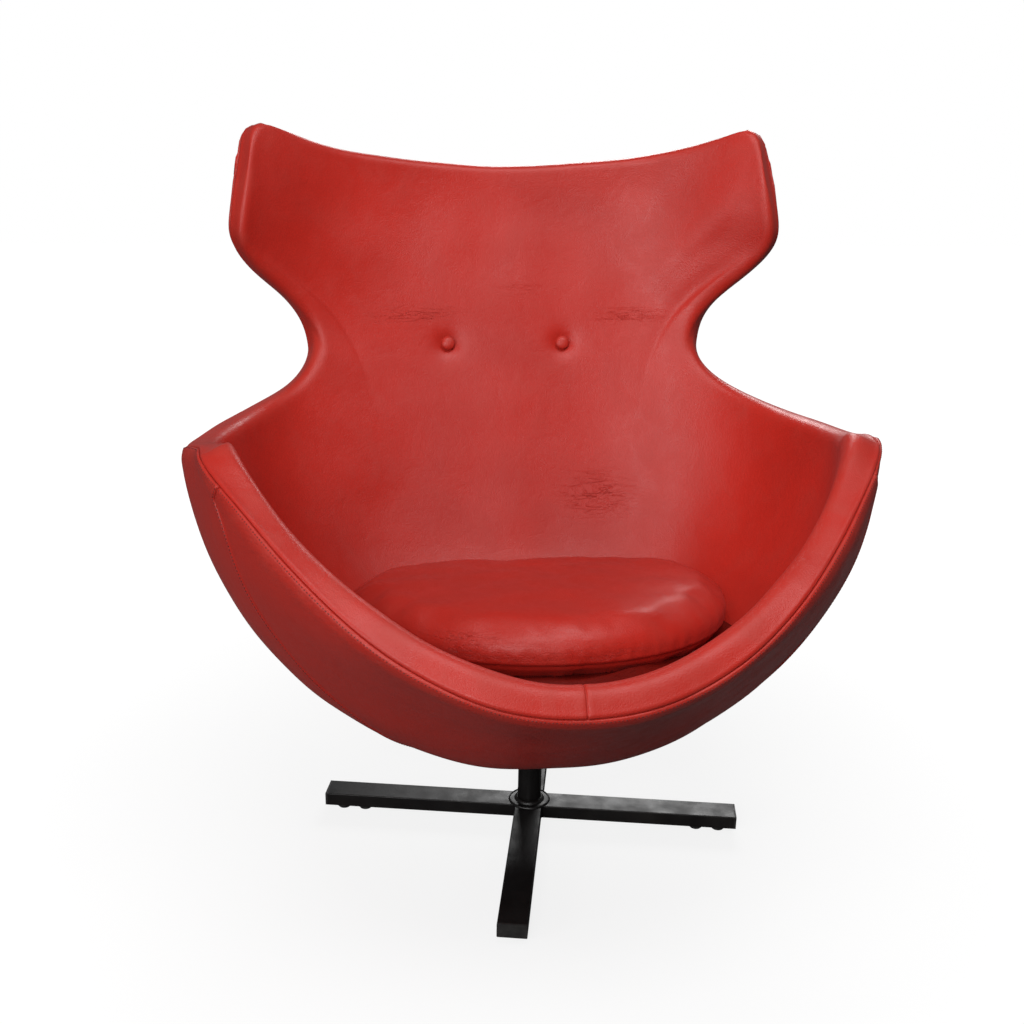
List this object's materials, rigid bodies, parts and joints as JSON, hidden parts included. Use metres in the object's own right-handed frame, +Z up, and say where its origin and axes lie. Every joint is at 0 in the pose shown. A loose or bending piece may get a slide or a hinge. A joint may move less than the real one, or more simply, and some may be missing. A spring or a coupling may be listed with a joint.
{
  "type": "swivel lounge chair",
  "caption": "Winged bucket lounge chair in red leatherette with two back buttons and a loose seat cushion, on a black four-leg swivel base.",
  "frame": {"origin": "on the floor, on the swivel axis", "axes": "+Z up along the swivel axis, the seat faces -Y, +X to the right of someone looking at the back along +Y"},
  "size_m": [0.9599, 0.9063, 0.9989],
  "materials": {
    "black_steel": "satin",
    "black_plastic": "matte",
    "grey_plastic": "matte",
    "nylon": "satin",
    "bare_steel": "satin",
    "red_leatherette": "satin",
    "foam": "matte",
    "fibreglass": "matte",
    "plywood": "matte",
    "thread": "matte"
  },
  "bodies": {
    "base": {"end_cap_front": "black_plastic", "end_cap_left": "black_plastic", "end_cap_rear": "black_plastic", "end_cap_right": "black_plastic", "glide_front_inner": "black_plastic", "glide_front_outer": "black_plastic", "glide_left_inner": "black_plastic", "glide_left_outer": "black_plastic", "glide_rear_inner": "black_plastic", "glide_rear_outer": "black_plastic", "glide_right_inner": "black_plastic", "glide_right_outer": "black_plastic", "leg_front": "black_steel", "leg_left": "black_steel", "leg_rear": "black_steel", "leg_right": "black_steel", "hub": "black_steel", "column": "black_steel", "column_weld": "black_steel", "hub_weld": "black_steel", "base_plug": "black_plastic", "upper_bush": "nylon", "lower_bush": "nylon"},
    "seat": {"base_block": "plywood", "bolt_washers": "bare_steel", "button_left": "red_leatherette", "button_right": "red_leatherette", "button_toggles": "grey_plastic", "button_twines": "thread", "circlip": "bare_steel", "deck_cover": "red_leatherette", "deck_foam": "foam", "fibreglass_shell": "fibreglass", "front_facing": "red_leatherette", "inner_cover": "red_leatherette", "inner_foam": "foam", "outer_foam": "foam", "plate_bolts": "bare_steel", "rear_cover": "red_leatherette", "retaining_washer": "bare_steel", "seat_plate": "black_steel", "spindle": "bare_steel", "threaded_inserts": "bare_steel", "thrust_washer": "nylon"},
    "cushion": {"cushion_cover": "red_leatherette", "cushion_foam": "foam", "zip_tape": "thread"},
    "zip_slider": {"zip_slider": "bare_steel"}
  },
  "joints": [
    {"name": "swivel", "type": "hinge", "parent": "base", "child": "seat", "pos_m": [0, 0, 0.1], "axis": [0, 0, 1], "continuous": true},
    {"name": "cushion_lift", "type": "slide", "parent": "seat", "child": "cushion", "axis": [0, 0, 1], "range_m": [0, 0.2]},
    {"name": "zip_slide", "type": "slide", "parent": "cushion", "child": "zip_slider", "axis": [1, 0, 0], "range_m": [0, 0.206]}
  ]
}
